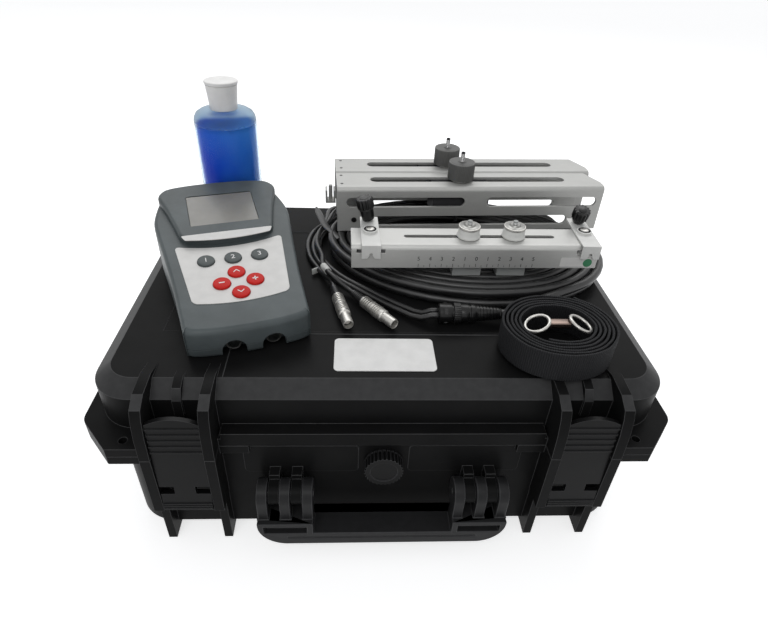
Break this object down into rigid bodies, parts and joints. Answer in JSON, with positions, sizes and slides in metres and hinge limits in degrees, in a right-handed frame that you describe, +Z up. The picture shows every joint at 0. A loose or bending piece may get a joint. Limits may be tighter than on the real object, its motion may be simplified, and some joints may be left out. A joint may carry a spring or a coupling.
{
  "type": "ultrasonic flow meter",
  "caption": "Portable clamp-on flow meter kit: handset, clamp-on sensor rails, coiled cable, strap and coupling gel, laid out on a closed carrying case.",
  "frame": {"origin": "on the floor, under the middle of the closed case", "axes": "+X to the right along the case's width, seen from its latches; +Y to the hinges at the back; +Z up"},
  "size_m": [0.4642, 0.398, 0.3026],
  "materials": {
    "case_black": "moulded, fine grain",
    "latch_black": "moulded, satin",
    "gasket": "matt",
    "foam": "open-cell foam",
    "pin_steel": "bright",
    "white_plate": "bare satin plate",
    "shell_grey": "painted satin",
    "shell_grey_dark": "satin",
    "window": "anti-glare",
    "lcd": "blank display",
    "keypad_white": "satin film",
    "key_dark": "satin",
    "key_red": "satin",
    "board_green": "solder mask",
    "cell_blue": "sleeved cells",
    "nickel": "nickel plated",
    "rail_alloy": "anodised",
    "knob_grey": "satin",
    "probe_dark": "satin",
    "rail_light": "anodised",
    "screw_black": "satin",
    "sensor_grey": "satin",
    "collar_white": "satin",
    "cable_black": "satin jacket",
    "webbing": "woven",
    "bottle_clear": "clear, thin wall",
    "gel_blue": "clear gel",
    "cap_white": "ribbed"
  },
  "bodies": {
    "case": {"case_base": "case_black", "base_foam": "foam", "steel_pins": "pin_steel", "valve_body": "latch_black"},
    "lid": {"case_lid": "case_black", "lid_gasket": "gasket", "lid_foam": "foam", "name_plate": "white_plate", "front_rail": "rail_alloy", "rear_rail": "rail_alloy", "rail_bracket": "rail_alloy", "scale_rail": "rail_light", "cable_coil": "cable_black", "trunk_lead": "cable_black", "lead_left": "cable_black", "lead_right": "cable_black", "plug_left": "nickel", "plug_right": "nickel", "inline_connector": "screw_black", "marker_sleeves": "collar_white", "strap_roll": "webbing", "strap_rings": "nickel", "gel_bottle": "bottle_clear", "gel": "gel_blue"},
    "latch_l": {"latch_left": "latch_black"},
    "latch_r": {"latch_right": "latch_black"},
    "carry_handle": {"handle": "latch_black"},
    "valve": {"valve_knob": "latch_black"},
    "meter": {"meter_front_shell": "shell_grey", "meter_back_shell": "shell_grey_dark", "display_window": "window", "display_module": "lcd", "keypad_overlay": "keypad_white", "name_strip": "keypad_white", "main_board": "board_green", "battery_pack": "cell_blue", "lead_sockets": "nickel", "shell_screws": "pin_steel"},
    "front_slider": {"front_probe": "probe_dark"},
    "rear_slider": {"rear_probe": "probe_dark"},
    "front_knob": {"front_rail_knob": "knob_grey"},
    "rear_knob": {"rear_rail_knob": "knob_grey"},
    "left_sensor": {"sensor_left": "sensor_grey", "collar_left": "collar_white"},
    "right_sensor": {"sensor_right": "sensor_grey", "collar_right": "collar_white"},
    "left_nut": {"sensor_nut_left": "nickel"},
    "right_nut": {"sensor_nut_right": "nickel"},
    "left_plate": {"end_plate_left": "rail_light"},
    "right_plate": {"end_plate_right": "rail_light"},
    "left_thumb": {"thumb_screw_left": "screw_black"},
    "right_thumb": {"thumb_screw_right": "screw_black"},
    "cap": {"bottle_cap": "cap_white"},
    "press_one": {"key_one": "key_dark"},
    "press_two": {"key_two": "key_dark"},
    "press_three": {"key_three": "key_dark"},
    "press_up": {"key_up": "key_red"},
    "press_minus": {"key_minus": "key_red"},
    "press_plus": {"key_plus": "key_red"},
    "press_down": {"key_down": "key_red"}
  },
  "joints": [
    {"name": "lid_hinge", "type": "hinge", "parent": "case", "child": "lid", "pos_m": [0, 0.19, 0.108], "axis": [-1, 0, 0], "range_deg": [0, 100]},
    {"name": "latch_left_swing", "type": "hinge", "parent": "case", "child": "latch_l", "pos_m": [-0.1535, -0.179, 0.06], "axis": [1, 0, 0], "range_deg": [0, 90]},
    {"name": "latch_right_swing", "type": "hinge", "parent": "case", "child": "latch_r", "pos_m": [0.1535, -0.179, 0.06], "axis": [1, 0, 0], "range_deg": [0, 90]},
    {"name": "handle_swing", "type": "hinge", "parent": "case", "child": "carry_handle", "pos_m": [0, -0.182, 0.066], "axis": [-1, 0, 0], "range_deg": [0, 110]},
    {"name": "valve_turn", "type": "hinge", "parent": "case", "child": "valve", "pos_m": [0, -0.17, 0.084], "axis": [0, -1, 0], "range_deg": [0, 360]},
    {"name": "meter_lift", "type": "slide", "parent": "lid", "child": "meter", "axis": [0, 0, 1], "range_m": [0, 0.15]},
    {"name": "key_one_press", "type": "slide", "parent": "meter", "child": "press_one", "axis": [-0.045, 0.1462, -0.9882], "range_m": [0, 0.001], "stiffness_N_per_m": 600},
    {"name": "key_two_press", "type": "slide", "parent": "meter", "child": "press_two", "axis": [-0.045, 0.1462, -0.9882], "range_m": [0, 0.001], "stiffness_N_per_m": 600},
    {"name": "key_three_press", "type": "slide", "parent": "meter", "child": "press_three", "axis": [-0.045, 0.1462, -0.9882], "range_m": [0, 0.001], "stiffness_N_per_m": 600},
    {"name": "key_up_press", "type": "slide", "parent": "meter", "child": "press_up", "axis": [-0.045, 0.1462, -0.9882], "range_m": [0, 0.001], "stiffness_N_per_m": 600},
    {"name": "key_minus_press", "type": "slide", "parent": "meter", "child": "press_minus", "axis": [-0.045, 0.1462, -0.9882], "range_m": [0, 0.001], "stiffness_N_per_m": 600},
    {"name": "key_plus_press", "type": "slide", "parent": "meter", "child": "press_plus", "axis": [-0.045, 0.1462, -0.9882], "range_m": [0, 0.001], "stiffness_N_per_m": 600},
    {"name": "key_down_press", "type": "slide", "parent": "meter", "child": "press_down", "axis": [-0.045, 0.1462, -0.9882], "range_m": [0, 0.001], "stiffness_N_per_m": 600},
    {"name": "front_probe_slide", "type": "slide", "parent": "lid", "child": "front_slider", "axis": [0.9983, 0.0576, 0], "range_m": [-0.086, 0.104]},
    {"name": "front_knob_turn", "type": "hinge", "parent": "front_slider", "child": "front_knob", "pos_m": [0.08381, 0.08415, 0.2213], "axis": [0, 0, 1], "range_deg": [0, 720]},
    {"name": "rear_probe_slide", "type": "slide", "parent": "lid", "child": "rear_slider", "axis": [0.9983, 0.0576, 0], "range_m": [-0.079, 0.111]},
    {"name": "rear_knob_turn", "type": "hinge", "parent": "rear_slider", "child": "rear_knob", "pos_m": [0.07444, 0.12508, 0.2213], "axis": [0, 0, 1], "range_deg": [0, 720]},
    {"name": "sensor_left_slide", "type": "slide", "parent": "lid", "child": "left_sensor", "axis": [0.9997, 0.0227, 0], "range_m": [-0.055, 0.007]},
    {"name": "sensor_nut_left_turn", "type": "hinge", "parent": "left_sensor", "child": "left_nut", "pos_m": [0.07756, -0.01462, 0.217], "axis": [0, 0, 1], "range_deg": [0, 720]},
    {"name": "sensor_right_slide", "type": "slide", "parent": "lid", "child": "right_sensor", "axis": [0.9997, 0.0227, 0], "range_m": [-0.007, 0.035]},
    {"name": "sensor_nut_right_turn", "type": "hinge", "parent": "right_sensor", "child": "right_nut", "pos_m": [0.11854, -0.01369, 0.217], "axis": [0, 0, 1], "range_deg": [0, 720]},
    {"name": "end_plate_left_swing", "type": "hinge", "parent": "lid", "child": "left_plate", "pos_m": [-0.01053, -0.01202, 0.207], "axis": [0, 0, 1], "range_deg": [-8, 8]},
    {"name": "end_plate_right_swing", "type": "hinge", "parent": "lid", "child": "right_plate", "pos_m": [0.18542, -0.00757, 0.207], "axis": [0, 0, 1], "range_deg": [-5, 11]},
    {"name": "thumb_screw_left_turn", "type": "hinge", "parent": "left_plate", "child": "left_thumb", "pos_m": [-0.01103, 0.00997, 0.2073], "axis": [-0.2079, -0.0047, 0.9781], "range_deg": [0, 720]},
    {"name": "thumb_screw_right_turn", "type": "hinge", "parent": "right_plate", "child": "right_thumb", "pos_m": [0.18608, 0.01442, 0.2073], "axis": [-0.0101, -0.3419, 0.9397], "range_deg": [0, 720]},
    {"name": "bottle_cap_turn", "type": "hinge", "parent": "lid", "child": "cap", "pos_m": [-0.15403, 0.11499, 0.276], "axis": [0, 0, 1], "range_deg": [0, 360]}
  ]
}
